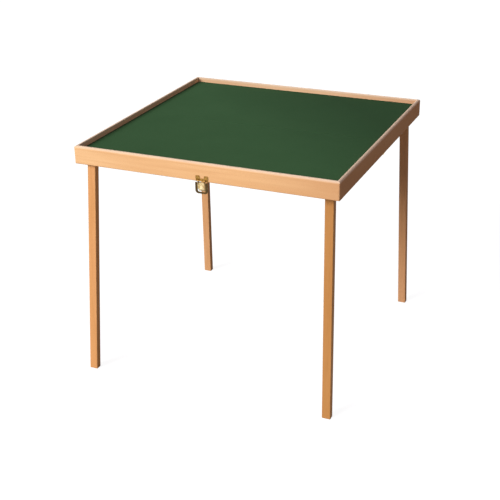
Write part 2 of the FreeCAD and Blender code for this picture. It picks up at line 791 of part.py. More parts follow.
def screw(name, diameter, head, length):
    """Countersunk cross-recess wood screw: head face at the origin, pointing along +Z."""
    body = new_body(name)
    profile = sketch_on(body, "XZ_Plane")
    outline(profile, [
        (ZERO, ZERO),
        (head / 2, ZERO),
        (diameter / 2, (head - diameter) / 2),
        (diameter / 2, length - s.screw_point),
        (ZERO, length),
    ])
    turned = add_feature(body, "PartDesign::Revolution", profile, "turned")
    turned.ReferenceAxis = (profile, ["V_Axis"])
    turned.Angle = 360
    recess = sketch_on(body, "XY_Plane")
    arm, slot = s.recess_span / 2, s.recess_slot / 2
    outline(recess, [
        (arm, -slot), (arm, slot), (slot, slot), (slot, arm), (-slot, arm), (-slot, slot),
        (-arm, slot), (-arm, -slot), (-slot, -slot), (-slot, -arm), (slot, -arm), (slot, -slot),
    ])
    pocket(body, recess, s.recess_depth, back=True)
    return body


# ---------------------------------------------------------------- hinges

def hinge_leaf(name, half, side, own):
    """Leaf with its share of the knuckles: own is 0 for the first, third, ... and 1 for the others."""
    body = new_body(name)
    radius, length = s.knuckle_radius, s.hinge_length
    flat = sketch_on(body, "YZ_Plane")
    rectangle(flat, -hinge_leaf_width, ZERO, s.leaf_gap / 2, s.leaf_gap / 2 + s.hinge_sheet)
    pad(body, flat, length, both=True)
    barrel = sketch_on(body, "YZ_Plane")
    circle(barrel, ZERO, ZERO, radius)
    pad(body, barrel, length, both=True)
    gaps = sketch_on(body, "XY_Plane")
    count = int(s.knuckle_count.value)
    clear = radius + s.knuckle_gap
    for i in range(count):
        if i % 2 == own:
            continue
        x0 = length * (i / count - 0.5) - s.knuckle_gap / 2
        x1 = length * ((i + 1) / count - 0.5) + s.knuckle_gap / 2
        rectangle(gaps, x0, x1, -clear, clear)
    pocket(body, gaps)
    bore = sketch_on(body, "YZ_Plane")
    circle(bore, ZERO, ZERO, s.hinge_pin / 2 + s.hinge_fit)
    pocket(body, bore)
    holes = sketch_on(body, "XY_Plane", s.leaf_gap / 2)
    hole_circles(holes, [(x, -hinge_screw_y) for x in HINGE_SCREWS], pin_screw_radius)
    countersunk(body, holes, pin_screw_radius * 2, s.pin_screw_head + s.screw_fit * 2, back=True)
    finish(body, name, in_half(half, place_text(hinge_x * -side, ZERO, hinge_z)))


def hinge_pin():
    pin = doc.addObject("Part::Cylinder", "hinge_pin")
    pin.setExpression("Radius", (s.hinge_pin / 2).text)
    pin.setExpression("Height", s.hinge_length.text)
    return pin


# ---------------------------------------------------------------- draw latch

def latch_plate():
    """Plate on the front rail with two ears that hold the lever's pin."""
    body = new_body("latch_plate")
    face = sketch_on(body, "XZ_Plane")
    x, low, top, r = latch_half, s.latch_bottom, s.latch_top, s.latch_corner
    outline(face, [
        (r - x, low),
        (x - r, low, r, 1),
        (x, low + r),
        (x, top - r, r, 1),
        (x - r, top),
        (s.notch_half, top),
        (s.notch_foot, top - s.notch_depth),
        (-s.notch_foot, top - s.notch_depth),
        (-s.notch_half, top),
        (r - x, top, r, 1),
        (-x, top - r),
        (-x, low + r, r, 1),
    ])
    pad(body, face, s.latch_sheet)
    ears = sketch_on(body, "YZ_Plane")
    reach, height, ear = s.lever_pivot_reach, s.lever_pivot_height, s.ear_radius
    outline(ears, [
        (-s.latch_sheet / 2, height - ear),
        (-reach, height - ear, ear, -1),
        (-reach - ear, height, ear, -1),
        (-reach, height + ear),
        (-s.latch_sheet / 2, height + ear),
    ])
    pad(body, ears, (ear_inner + s.latch_sheet) * 2, both=True)
    between = sketch_on(body, "YZ_Plane")
    out = reach + ear + s.margin
    rectangle(between, -out, -s.latch_sheet, height - ear - s.margin, height + ear + s.margin)
    pocket(body, between, ear_inner * 2, both=True)
    bore = sketch_on(body, "YZ_Plane")
    circle(bore, -reach, height, s.lever_pin / 2 + s.lever_fit)
    pocket(body, bore)
    holes = sketch_on(body, "XZ_Plane", s.latch_sheet)
    hole_circles(holes, LATCH_SCREWS, pin_screw_radius)
    countersunk(body, holes, pin_screw_radius * 2, s.pin_screw_head + s.screw_fit * 2)
    finish(body, "latch_plate", in_half("front", place_text(latch_x["front"], -half_depth, rail_z)))


def latch_lever():
    """Channel-shaped lever, hanging open from its pin, with a finger lip at its end."""
    body = new_body("latch_lever")
    nose, back, t, m = s.lever_nose, s.lever_back, s.lever_sheet, s.margin
    flanges = sketch_on(body, "YZ_Plane")
    outline(flanges, [
        (-nose, ZERO),
        (-nose, -s.lever_shoulder),
        (back - t, -s.lever_crease),
        (back, -s.lever_crease),
        (back, -s.lever_neck),
        (nose, nose - s.lever_neck),
        (nose, ZERO, nose, 1),
        (ZERO, nose, nose, 1),
    ])
    pad(body, flanges, s.lever_width, both=True)
    hollow = sketch_on(body, "YZ_Plane")
    outline(hollow, [
        (-nose - m, nose + m),
        (-nose - m, -s.lever_crease - m),
        (back - t, -s.lever_crease - m),
        (back - t, -s.lever_neck),
        (back + m, -s.lever_neck),
        (back + m, nose + m),
    ])
    pocket(body, hollow, s.lever_width - t * 2, both=True)
    lip = sketch_on(body, "YZ_Plane")
    outline(lip, [
        (back - t, t - s.lever_crease),
        (back - t, -s.lever_crease),
        (back - t + s.lever_lip, -s.lever_length),
        (back + s.lever_lip, -s.lever_length),
        (back, -s.lever_crease),
        (back, t - s.lever_crease),
    ])
    pad(body, lip, s.lever_width, both=True)
    bores = sketch_on(body, "YZ_Plane")
    circle(bores, ZERO, ZERO, s.lever_pin / 2 + s.lever_fit)
    circle(bores, ZERO, -s.loop_offset, s.lever_pin / 2 + s.lever_fit)
    pocket(body, bores)
    where = (latch_x["front"], -half_depth - s.lever_pivot_reach, rail_z + s.lever_pivot_height)
    finish(body, "latch_lever", in_half("front", place_text(*where)))


def latch_loop():
    """Stamped loop around the lever; its inward ends turn in the lever's flanges."""
    body = new_body("latch_loop")
    out, hole = latch_half, loop_inner
    top, length, foot = s.loop_head, loop_window + s.loop_foot, loop_window
    big, small, end = s.loop_corner, s.loop_inner_corner, s.loop_end_round
    frame = sketch_on(body, "XZ_Plane")
    outline(frame, [
        (-out, top - end),
        (-out, big - length, big, 1),
        (big - out, -length),
        (out - big, -length, big, 1),
        (out, big - length),
        (out, top - end, end, 1),
        (out - end, top),
        (hole + end, top, end, 1),
        (hole, top - end),
        (hole, small - foot, small, -1),
        (hole - small, -foot),
        (small - hole, -foot, small, -1),
        (-hole, small - foot),
        (-hole, top - end, end, 1),
        (-hole - end, top),
        (end - out, top, end, 1),
    ])
    pad(body, frame, s.loop_sheet, both=True)
    ends = sketch_on(body, "YZ_Plane")
    circle(ends, ZERO, ZERO, s.lever_pin / 2)
    pad(body, ends, (hole + end) * 2, both=True)
    between = sketch_on(body, "YZ_Plane")
    circle(between, ZERO, ZERO, s.lever_pin / 2 + s.margin)
    pocket(body, between, (s.lever_width / 2 - s.lever_sheet - s.loop_end_gap) * 2, both=True)
    height = rail_z + s.lever_pivot_height - s.loop_offset
    where = (latch_x["front"], -half_depth - s.lever_pivot_reach, height)
    finish(body, "latch_loop", in_half("front", place_text(*where)))


def latch_pin():
    pin = doc.addObject("Part::Cylinder", "latch_pin")
    half = ear_inner + s.latch_sheet
    pin.setExpression("Radius", (s.lever_pin / 2).text)
    pin.setExpression("Height", (half * 2).text)
    where = (latch_x["front"] - half, -half_depth - s.lever_pivot_reach, rail_z + s.lever_pivot_height)
    finish(pin, "latch_pin", in_half("front", place_text(*where, (0, 1, 0), Size(90))))


def catch_plate():
    """Plate on the rear rail with the hook that the loop goes over when the table is shut."""
    body = new_body("catch_plate")
    t = s.latch_sheet
    nose = s.lever_pivot_reach + s.loop_sheet / 2 + s.hook_clearance
    side = sketch_on(body, "YZ_Plane")
    outline(side, [
        (ZERO, s.catch_bottom),
        (ZERO, hook_face),
        (-nose, hook_face),
        (-nose, hook_face + s.hook_nose),
        (-nose - t, hook_face + s.hook_nose),
        (-nose - t, hook_face - t),
        (-t, hook_face - t),
        (-t, s.catch_bottom),
    ])
    pad(body, side, s.catch_width, both=True)
    trim = sketch_on(body, "XY_Plane")
    m = s.margin
    for sign in (-1, 1):
        near, far = s.catch_hook / 2 * sign, (s.catch_width / 2 + m) * sign
        rectangle(trim, near, far, -nose - t - m, -t)
    pocket(body, trim)
    holes = sketch_on(body, "XZ_Plane", t)
    hole_circles(holes, CATCH_SCREWS, pin_screw_radius)
    countersunk(body, holes, pin_screw_radius * 2, s.pin_screw_head + s.screw_fit * 2)
    finish(body, "catch_plate", in_half("rear", place_text(latch_x["rear"], -half_depth, rail_z)))


# ---------------------------------------------------------------- the whole table

for half in TURN:
    end_rail(f"{half}_rail", half)
    center_rail(f"{half}_center_rail", half)
    panel(f"{half}_panel", half)
    felt(f"{half}_felt", half)
side_rail("front_left_rail", "front", 1)
side_rail("front_right_rail", "front", -1)
side_rail("rear_right_rail", "rear", 1)
side_rail("rear_left_rail", "rear", -1)

for name in CORNERS:
    leg_block(name)
    bracket(name)
    leg(name)

bolt, nut = leg_bolt(), leg_nut()
wood_screw = screw("wood_screw", s.screw_diameter, s.screw_head, s.screw_length)
pin_screw = screw("pin_screw", s.pin_screw_diameter, s.pin_screw_head, s.pin_screw_length)
for half in TURN:
    places = {name: at for name, at in CORNERS.items() if at.half == half}
    group(f"leg_bolts_{half}", bolt, [leg_frame(name) for name in places])
    group(f"leg_nuts_{half}", nut, [leg_frame(name) for name in places])
    group(f"bracket_screws_{half}", wood_screw, [
        f"{leg_frame(name)} * {place_text(x * at.side, y, head_room)}"
        for name, at in places.items()
        for x, y in BRACKET_SCREWS
    ])
    group(f"hinge_screws_{half}", pin_screw, [
        in_half(half, place_text((hinge_x + x) * side, -hinge_screw_y, hinge_z + s.leaf_gap / 2))
        for side in (-1, 1)
        for x in HINGE_SCREWS
    ])

hinge_leaf("hinge_leaf_front_left", "front", 1, 0)
hinge_leaf("hinge_leaf_front_right", "front", -1, 0)
hinge_leaf("hinge_leaf_rear_right", "rear", 1, 1)
hinge_leaf("hinge_leaf_rear_left", "rear", -1, 1)
group("hinge_pins", hinge_pin(), [
    in_half("front", place_text(hinge_x * side - s.hinge_length / 2, ZERO, hinge_z, (0, 1, 0), Size(90)))
    for side in (-1, 1)
])

latch_plate()
latch_lever()
latch_loop()
latch_pin()
catch_plate()
for half, name in (("front", "latch_screws"), ("rear", "catch_screws")):
    group(name, pin_screw, [
        in_half(half, place_text(x, -half_depth - s.latch_sheet, rail_z + z, (1, 0, 0), Size(-90)))
        for x, z in END_SCREWS[half]
    ])

doc.recompute()
faulty = [o.Name for o in doc.Objects if "Invalid" in o.State or "Error" in o.State]
faulty += [o.Label for o in nodes if o.Shape.isNull() or not o.Shape.isValid()]
if faulty:
    raise RuntimeError(f"objects that did not build: {faulty}")
os.makedirs("parts", exist_ok=True)
for node in nodes:
    node.Shape.exportStep(f"parts/{node.Label}.step")
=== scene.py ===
import math

import bpy
from bpy.props import FloatProperty, FloatVectorProperty, IntProperty, PointerProperty
from mathutils import Matrix, Vector


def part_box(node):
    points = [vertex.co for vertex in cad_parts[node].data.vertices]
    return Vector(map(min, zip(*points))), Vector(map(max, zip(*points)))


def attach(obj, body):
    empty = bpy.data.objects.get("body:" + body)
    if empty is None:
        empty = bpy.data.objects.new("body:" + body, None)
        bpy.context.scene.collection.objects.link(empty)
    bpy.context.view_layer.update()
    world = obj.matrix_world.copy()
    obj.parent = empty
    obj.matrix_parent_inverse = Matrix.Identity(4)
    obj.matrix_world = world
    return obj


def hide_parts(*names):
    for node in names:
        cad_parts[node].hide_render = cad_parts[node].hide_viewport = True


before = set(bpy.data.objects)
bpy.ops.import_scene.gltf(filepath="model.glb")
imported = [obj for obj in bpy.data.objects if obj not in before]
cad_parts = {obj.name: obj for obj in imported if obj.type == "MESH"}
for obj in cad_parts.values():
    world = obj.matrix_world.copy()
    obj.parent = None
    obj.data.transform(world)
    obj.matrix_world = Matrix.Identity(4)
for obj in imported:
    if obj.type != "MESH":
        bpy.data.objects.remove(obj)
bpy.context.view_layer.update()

bl_info = {
    "name": "Folding Mahjong Table Finishes",
    "version": (1, 0, 0),
    "blender": (4, 5, 0),
    "location": "View3D > Sidebar > Mahjong Table",
    "description": "Lays the felt and gives every part of a folding mahjong table its finish",
    "category": "Object",
}

HALVES = ("front", "rear")

# Where a finish starts to change its tone and where the change ends, in metres in the table's frame.
RIM = (0.7275, 0.7335)  # height, up to the rails' top, painted paler as painted light
SHADED_LOWER_EDGE = (0.6840, 0.6812)  # height, down to the rails' lower edge, darkened as painted shade
SHADED_SIDE = (0.12, 0.42)  # X, to the right side, where painted shade darkens the rails
RAIL_SHADE_EDGE = (0.3845, 0.3890)  # X or Y either way, to the cloth's edge along the rails, darkened as painted shade
SHADED_CORNER = (-0.05, 0.50)  # X and Y added, to the right rear corner, where the cloth is darkened as painted shade
LEVER_SHADED_SIDE = (0.0030, 0.0145)  # X, across the latch lever to its right side, darkened as painted shade
LEVER_SHADED_TOP = (0.6765, 0.6805)  # height, up to the latch lever's top by the pin, darkened as painted shade

# How far a rail turns to the painted shade at its right side, by the axis of its grain.
PAINTED_SIDE_SHADE_SHARE = {"X": 0.44, "Y": 0.72}

# Boards differ in colour, so the red, green and blue of the wood are multiplied by these. The tints also
# paint light and shade: bluer where a board's faces lie in shade, the front right leg darker and the front
# left leg paler, as the key light falls on them.
UNTINTED = (1.0, 1.0, 1.0)
RAIL_TINTS_AND_SHADE = {
    "front_left_rail": (1.06, 1.08, 1.24),
    "rear_left_rail": (1.06, 1.08, 1.24),
    "rear_rail": (0.93, 1.02, 1.28),
}
LEG_TINTS_AND_SHADE = {
    "leg_front_left": (1.09, 1.08, 1.14),
    "leg_front_right": (0.79, 0.75, 0.65),
    "leg_rear_left": (0.95, 1.01, 1.22),
    "leg_rear_right": (0.93, 0.99, 1.30),
}

# Every board has a number, and the rails start at 0. From one number to the next the pattern of
# the wood moves by the board shift, so each board has a grain of its own.
FIRST_LEG_BOARD = 20
FIRST_BLOCK_BOARD = 30
BOARD_SHIFT = (1.37, 0.71, 2.13)

# How far each pattern of the wood is drawn out along the grain: a smaller number draws it out more.
ALONG = {"fibre": 0.03, "tone": 0.12, "fleck": 0.22}

# Distance along one axis after which a diagonal wave of scale 1 repeats.
DIAGONAL_WAVE = math.tau / 10.0

# Specular level of the satin lacquer, and of the one leg that shines more.
SATIN = 0.001
GLOSSY_LEGS = {"leg_front_right": 0.030}

# Roughness of each metal where it is smoothest, and how much rougher its dull patches are.
METAL_ROUGHNESS = {
    "hinge": 0.22,
    "plate": 0.34,
    "lever": 0.42,
    "loop": 0.32,
    "bracket": 0.34,
    "bolt": 0.26,
}
TARNISH_ROUGHENS = 0.16
HAZE_ROUGHENS = 0.14

EDGE_SEGMENTS = 3
SMOOTH_ANGLE = math.radians(50)
FLOOR_SIZE = 60.0
PICTURE_WIDTH = 500.0
SENSOR_WIDTH = 36.0
FAR_CLIP = 100.0


# ------------------------------------------------------------------ settings

def colour(name, description, default):
    return FloatVectorProperty(
        name=name, description=description, default=default, subtype="COLOR", size=3, min=0.0, max=1.0
    )


def length(name, description, default):
    return FloatProperty(name=name, description=description, default=default, subtype="DISTANCE")


def angle(name, description, degrees):
    return FloatProperty(
        name=name, description=description, default=math.radians(degrees), subtype="ANGLE"
    )


def heading(name, description, default):
    return FloatVectorProperty(name=name, description=description, default=default, subtype="DIRECTION")


class TableWoodSettings(bpy.types.PropertyGroup):
    """Beech and plywood"""

    light: colour("Light wood", "Palest tone of the rails' lacquered beech", (0.86, 0.530, 0.268))
    dark: colour("Dark wood", "Deepest tone between the rails' growth rings", (0.72, 0.390, 0.175))
    leg_light: colour("Light leg wood", "Palest tone of the legs' lacquered beech", (0.72, 0.370, 0.150))
    leg_dark: colour("Dark leg wood", "Deepest tone between the legs' growth rings", (0.58, 0.270, 0.090))
    # The fleck colour also paints the shade along the rails' lower edge.
    fleck: colour("Fleck", "Short dark ray flecks of beech", (0.45, 0.200, 0.075))
    # Painted shade: darker, redder wood that stands in for the light falling off towards the right side.
    painted_side_shade: colour("Unfaded wood", "Rails on the side that daylight hasn't paled", (0.42, 0.190, 0.092))
    # Painted light: the paler colour of the rails' lit top and its sheen.
    painted_top_light: colour("Rubbed wood", "Rims that hands have rubbed pale", (0.735, 0.575, 0.44))
    ply_light: colour("Light plywood", "Palest tone of the birch plywood", (0.78, 0.58, 0.36))
    ply_dark: colour("Dark plywood", "Deepest tone of the birch plywood", (0.60, 0.40, 0.22))
    band_width: length("Band width", "Width across the grain of a band of growth rings", 0.07539823)


class TableClothSettings(bpy.types.PropertyGroup):
    """Felt"""

    light: colour("Light felt", "Fibre tips", (0.046, 0.104, 0.042))
    dark: colour("Dark felt", "Between the fibres", (0.025, 0.068, 0.024))
    # Painted shade: the darker felt towards the right rear corner.
    flat: colour("Flat felt", "Where the nap lies down", (0.010, 0.027, 0.009))
    # Painted shade: the dark band where the rails shade the cloth's edge.
    painted_rail_shade: colour("Felt border", "Dusty edge of the cloth along the rails", (0.014, 0.020, 0.006))
    edge: length("Edge rounding", "Softness of the cut edge", 0.0004)
    wave_height: length("Wave height", "Height of the slow waves in the cloth", 0.00012)
    wave_size: length("Wave size", "Size of the slow waves in the cloth", 0.09)
    cuts: IntProperty(name="Cuts", description="Cuts that divide each cloth, both ways", default=60)


class TableMetalSettings(bpy.types.PropertyGroup):
    """Brass and zinc plated steel"""

    brass: colour("Brass", "Polished brass of the hinges", (0.80, 0.56, 0.22))
    tarnish: colour("Tarnish", "Brass where the air has dulled it", (0.42, 0.25, 0.08))
    plate_light: colour("Light plate", "Aged brass of the latch and catch plates", (0.42, 0.24, 0.065))
    # The plates' darker brass, which also paints the shade at the latch lever's top.
    plate_dark_and_lever_shade: colour("Dark plate", "Plates where they have darkened", (0.20, 0.095, 0.018))
    # Painted highlight: the lever's pale brass is brightened to the cream of a lit reflection.
    lever_brass_and_highlight: colour("Light lever", "Lever, worn bright by fingers", (1.0, 0.88, 0.57))
    # The lever's darker brass, for its tarnish patches and for the painted shade on its right side.
    lever_tarnish_and_shade: colour("Dark lever", "Lever where the wear ends", (0.36, 0.21, 0.065))
    # Painted shade: both loop tones are near-black brass standing in for the shade and dark reflections
    # around the loop; mixing them gives its patches.
    loop_painted_shade: colour("Light loop", "Darkened brass of the loop", (0.12, 0.078, 0.030))
    loop_painted_shade_dark: colour("Dark loop", "Loop at its darkest", (0.040, 0.020, 0.005))
    zinc: colour("Zinc", "Bright zinc plating", (0.62, 0.63, 0.64))
    dull_zinc: colour("Dull zinc", "Zinc plating in its darker patches", (0.40, 0.41, 0.43))


class TableStageSettings(bpy.types.PropertyGroup):
    """Camera, lights and floor"""

    camera_place: FloatVectorProperty(
        name="Camera place", description="Where the camera stands", default=(1.1646, -2.7158, 1.6689),
        subtype="TRANSLATION", unit="LENGTH",
    )
    camera_yaw: angle("Yaw", "Turn of the view from +Y towards -X", 23.772)
    camera_pitch: angle("Pitch", "How far the view looks down", 24.800)
    camera_roll: angle("Roll", "Lean of the camera to its left", -0.898)
    focal_pixels: FloatProperty(
        name="Focal length", description="In pixels of a 500 pixel wide picture", default=1013.4
    )
    key_strength: FloatProperty(name="Key light", description="Strength of the key light", default=3.60)
    key_spread: angle("Key spread", "Width of the key light, which softens its shadows", 28.0)
    key_heading: heading("Key heading", "Where the key light shines to", (0.449, 0.778, -0.438))
    overhead_strength: FloatProperty(
        name="Overhead light", description="Strength of the soft light from above", default=0.50
    )
    overhead_spread: angle("Overhead spread", "Width of the soft light from above", 60.0)
    overhead_heading: heading("Overhead heading", "Where the soft light shines to", (0.05, 0.10, -1.0))
    fill_strength: FloatProperty(name="Fill light", description="Strength of the even fill", default=0.26)
    fill: colour("Fill colour", "Colour of the even fill", (0.92, 0.86, 1.0))
    floor: colour("Floor", "Floor as the camera sees it, before its glow", (0.20, 0.20, 0.20))
    floor_glow: FloatProperty(
        name="Floor glow", description="How pale the floor looks without light", default=0.90
    )
    floor_bounce: colour("Floor bounce", "Floor as it throws light at the table", (0.32, 0.31, 0.30))


# ------------------------------------------------------------------ node helpers

class Finish:
    """One procedural material, built node by node."""

    def __init__(self, name):
        self.material = bpy.data.materials.new(name)
        self.material.use_nodes = True
        self.tree = self.material.node_tree
        self.shader = self.tree.nodes["Principled BSDF"]
        self.place = self.add("ShaderNodeTexCoord").outputs["Object"]

    def add(self, kind, inputs=None, **settings):
        """A new node with these settings and inputs."""
        node = self.tree.nodes.new(kind)
        for name, value in settings.items():
            setattr(node, name, value)
        for name, value in (inputs or {}).items():
            self.feed(node.inputs[name], value)
        return node

    def feed(self, socket, value):
        """Links the socket to another node's output, or sets it to a number or colour."""
        if isinstance(value, bpy.types.NodeSocket):
            self.tree.links.new(value, socket)
        else:
            socket.default_value = value

    def surface(self, **inputs):
        """Sets or links sockets of the Principled shader; underscores stand for spaces."""
        for name, value in inputs.items():
            self.feed(self.shader.inputs[name.replace("_", " ")], value)

    def stretched(self, scale, shift=(0.0, 0.0, 0.0)):
        """The place on the piece, scaled and then shifted."""
        inputs = {"Vector": self.place, "Scale": scale, "Location": shift}
        return self.add("ShaderNodeMapping", inputs).outputs["Vector"]

    def axes(self):
        """The X, Y and Z of the place on the piece."""
        return self.add("ShaderNodeSeparateXYZ", {"Vector": self.place}).outputs

    def noise(self, vector, scale, detail=2.0, roughness=0.5, distortion=0.0):
        """Cloudy noise from 0 to 1."""
        inputs = {
            "Vector": vector, "Scale": scale, "Detail": detail, "Roughness": roughness,
            "Distortion": distortion,
        }
        return self.add("ShaderNodeTexNoise", inputs).outputs["Fac"]

    def bands(self, vector, across, **inputs):
        """Wavy bands from 0 to 1, one after the other along X, Y, Z or the diagonal."""
        named = {name.replace("_", " "): value for name, value in inputs.items()}
        wave = self.add(
            "ShaderNodeTexWave", {"Vector": vector, **named}, wave_type="BANDS", bands_direction=across
        )
        return wave.outputs["Fac"]

    def calculate(self, operation, first, second=0.0):
        """The result of a calculation on one or two values."""
        node = self.add("ShaderNodeMath", operation=operation)
        self.feed(node.inputs[0], first)
        self.feed(node.inputs[1], second)
        return node.outputs[0]

    def between(self, value, low, high, start=0.0, end=1.0):
        """Remaps value from low..high to start..end and clamps it."""
        inputs = {
            "Value": value, "From Min": low, "From Max": high, "To Min": start, "To Max": end,
        }
        return self.add("ShaderNodeMapRange", inputs).outputs["Result"]

    def mix(self, share, first, second):
        """The first colour with a share of the second in it."""
        node = self.add("ShaderNodeMix", {"Factor": share}, data_type="RGBA")
        for name, shade in (("A", first), ("B", second)):
            linked = isinstance(shade, bpy.types.NodeSocket)
            self.feed(node.inputs[name], shade if linked else (*shade[:3], 1.0))
        return node.outputs["Result"]

    def tinge(self, body, tint, value, low, high, share=1.0):
        """The body with none of the tint where value is low, and a share of it where value is high."""
        return self.mix(self.between(value, low, high, end=share), body, tint)

    def raised(self, height, distance, strength=1.0, normal=None):
        """A bump of this height, on top of another bump where one is given."""
        node = self.add("ShaderNodeBump", {"Height": height, "Strength": strength, "Distance": distance})
        if normal is not None:
            self.feed(node.inputs["Normal"], normal)
        return node.outputs["Normal"]


# ------------------------------------------------------------------ finishes

def grain_scale(axis, pattern):
    return tuple(ALONG[pattern] if letter == axis else 1.0 for letter in "XYZ")


def beech(name, axis, board, light, dark, gloss=SATIN, rail=False):
    """Clear lacquered beech: rings, fibres and short flecks that run along one axis."""
    wood = bpy.context.scene.table_wood
    finish = Finish(name)
    shift = [board * step for step in BOARD_SHIFT]
    slow = finish.stretched(grain_scale(axis, "tone"), shift)
    long = finish.stretched(grain_scale(axis, "fibre"), shift)
    short = finish.stretched(grain_scale(axis, "fleck"), shift)
    tone = finish.noise(slow, scale=9.0, detail=3.0, roughness=0.55, distortion=0.4)
    fibres = finish.noise(long, scale=520.0, detail=3.0, roughness=0.6)
    streaks = finish.noise(long, scale=110.0)
    dashes = finish.noise(short, scale=1900.0, detail=1.0, roughness=0.4)
    rings = finish.bands(
        slow, "DIAGONAL", Scale=DIAGONAL_WAVE / wood.band_width, Distortion=5.0, Detail=2.0,
        Detail_Scale=1.2, Detail_Roughness=0.6,
    )
    flecks = finish.between(dashes, low=0.60, high=0.68, end=0.45)
    body = finish.tinge(light, dark, tone, low=0.30, high=0.70)
    body = finish.tinge(body, dark, rings, low=0.55, high=1.0, share=0.30)
    body = finish.tinge(body, dark, streaks, low=0.42, high=0.70, share=0.75)
    body = finish.tinge(body, light, fibres, low=0.40, high=0.65, share=0.22)
    body = finish.mix(flecks, body, wood.fleck)
    if rail:
        x, _, z = finish.axes()
        # Painted shade: the rail darkens towards the right side.
        body = finish.tinge(body, wood.painted_side_shade, x, *SHADED_SIDE, share=PAINTED_SIDE_SHADE_SHARE[axis])
        # Painted light: the rail's top is painted paler, where light falls on it.
        body = finish.tinge(body, wood.painted_top_light, z, *RIM, share=0.75)
        # Painted shade: the rail's rounded lower edge is darkened with the fleck colour.
        body = finish.tinge(body, wood.fleck, z, *SHADED_LOWER_EDGE, share=0.55)
    grain = finish.raised(fibres, distance=0.00006, strength=0.5)
    finish.surface(
        Base_Color=body, Roughness=finish.between(tone, low=0.2, high=0.8, start=0.38, end=0.50),
        Normal=finish.raised(flecks, distance=0.00003, strength=0.4, normal=grain),
    )
    finish.surface(Specular_IOR_Level=gloss)
    return finish.material


def plywood():
    """Bare rotary-cut birch, with the broad loops of a peeled veneer."""
    wood = bpy.context.scene.table_wood
    finish = Finish("birch_plywood")
    slow = finish.stretched(scale=(0.18, 1.0, 1.0))
    long = finish.stretched(scale=(0.02, 1.0, 1.0))
    warp = finish.noise(slow, scale=4.0, distortion=0.8)
    loops = finish.bands(slow, "Y", Scale=3.0, Distortion=14.0, Detail=2.0, Detail_Scale=0.8)
    fibres = finish.noise(long, scale=600.0, detail=3.0, roughness=0.6)
    body = finish.tinge(wood.ply_light, wood.ply_dark, warp, low=0.3, high=0.7)
    body = finish.tinge(body, wood.ply_dark, loops, low=0.5, high=1.0, share=0.35)
    body = finish.tinge(body, wood.ply_light, fibres, low=0.45, high=0.7, share=0.3)
    finish.surface(
        Base_Color=body, Roughness=finish.between(fibres, low=0.2, high=0.8, start=0.62, end=0.78),
        Normal=finish.raised(fibres, distance=0.00008, strength=0.5),
    )
    return finish.material


def felt():
    """Pressed wool: matted fibres, slow tonal clouds and a soft sheen."""
    cloth = bpy.context.scene.table_cloth
    finish = Finish("green_felt")
    clouds = finish.noise(finish.place, scale=7.0, detail=3.0)
    tufts = finish.noise(finish.place, scale=420.0, detail=4.0, roughness=0.65, distortion=1.5)
    hairs = finish.noise(finish.place, scale=1900.0, detail=3.0, roughness=0.7, distortion=3.0)
    x, y, _ = finish.axes()
    to_corner = finish.calculate("ADD", x, y)
    across = finish.calculate("ABSOLUTE", x)
    along = finish.calculate("ABSOLUTE", y)
    from_middle = finish.calculate("MAXIMUM", across, along)
    body = finish.tinge(cloth.dark, cloth.light, tufts, low=0.30, high=0.70)
    body = finish.tinge(body, cloth.dark, clouds, low=0.35, high=0.65, share=0.25)
    body = finish.tinge(body, cloth.light, hairs, low=0.55, high=0.80, share=0.35)
    # Painted shade: the cloth darkens towards the right rear corner.
    body = finish.tinge(body, cloth.flat, to_corner, *SHADED_CORNER, share=0.62)
    # Painted shade: the cloth darkens along the rails.
    body = finish.tinge(body, cloth.painted_rail_shade, from_middle, *RAIL_SHADE_EDGE, share=0.9)
    matted = finish.raised(tufts, distance=0.00035, strength=0.7)
    finish.surface(
        Base_Color=body, Roughness=finish.between(tufts, low=0.2, high=0.8, start=0.9, end=1.0),
        Normal=finish.raised(hairs, distance=0.0002, strength=0.6, normal=matted),
    )
    finish.surface(Sheen_Weight=0.03, Sheen_Roughness=0.5, Sheen_Tint=(0.55, 0.85, 0.6, 1.0))
    finish.surface(Specular_IOR_Level=0.03)
    return finish.material


def brass(name, light, dark, roughness, lever=False):
    """Sheet brass with patches of tarnish and fine handling marks."""
    finish = Finish(name)
    patches = finish.noise(finish.place, scale=180.0, detail=4.0, roughness=0.6, distortion=0.6)
    grime = finish.noise(finish.place, scale=700.0, detail=3.0, roughness=0.6)
    marks = finish.noise(finish.stretched(scale=(1.0, 1.0, 0.08)), scale=2600.0, roughness=0.6)
    body = finish.tinge(light, dark, patches, low=0.42, high=0.70)
    body = finish.tinge(body, dark, grime, low=0.50, high=0.75, share=0.5)
    if lever:
        x, _, z = finish.axes()
        top_shade = bpy.context.scene.table_metal.plate_dark_and_lever_shade
        # Painted shade: the lever darkens towards its right side, away from the light.
        body = finish.tinge(body, dark, x, *LEVER_SHADED_SIDE, share=0.90)
        # Painted shade: the lever's top, by the pin, is darkened with the plates' dark colour.
        body = finish.tinge(body, top_shade, z, *LEVER_SHADED_TOP, share=0.95)
    rough = finish.between(patches, low=0.3, high=0.75, start=roughness, end=roughness + TARNISH_ROUGHENS)
    finish.surface(Metallic=1.0)
    finish.surface(
        Base_Color=body, Roughness=rough,
        Normal=finish.raised(marks, distance=0.00001, strength=0.35),
    )
    return finish.material


